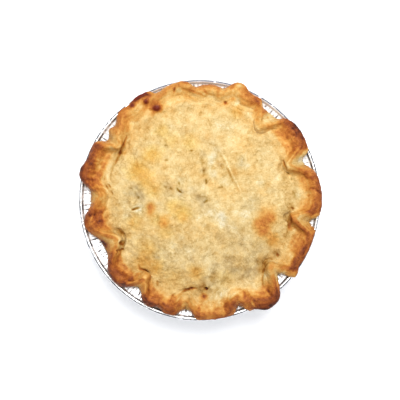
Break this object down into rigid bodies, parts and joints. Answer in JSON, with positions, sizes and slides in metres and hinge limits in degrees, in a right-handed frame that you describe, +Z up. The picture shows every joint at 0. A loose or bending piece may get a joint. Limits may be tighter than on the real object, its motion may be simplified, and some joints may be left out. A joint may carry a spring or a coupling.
{
  "type": "chicken pot pie",
  "caption": "Baked single-serving pot pie: a domed pastry lid with an uneven, browned, finger-fluted edge, uncut in the pleated foil pan that holds it.",
  "frame": {"origin": "middle of the flat underside of the foil pan's base", "axes": "+Z up out of the lid; +X and +Y along the table, with the flute that sticks out furthest over the rim towards +X and -Y"},
  "size_m": [0.1277, 0.127, 0.0415],
  "materials": {
    "foil": "bright thin rolled foil, pleated wall",
    "pastry": "matt baked shortcrust, pale gold lid, browned flutes"
  },
  "bodies": {
    "root": {"foil_pan": "foil", "pot_pie": "pastry"}
  },
  "joints": []
}
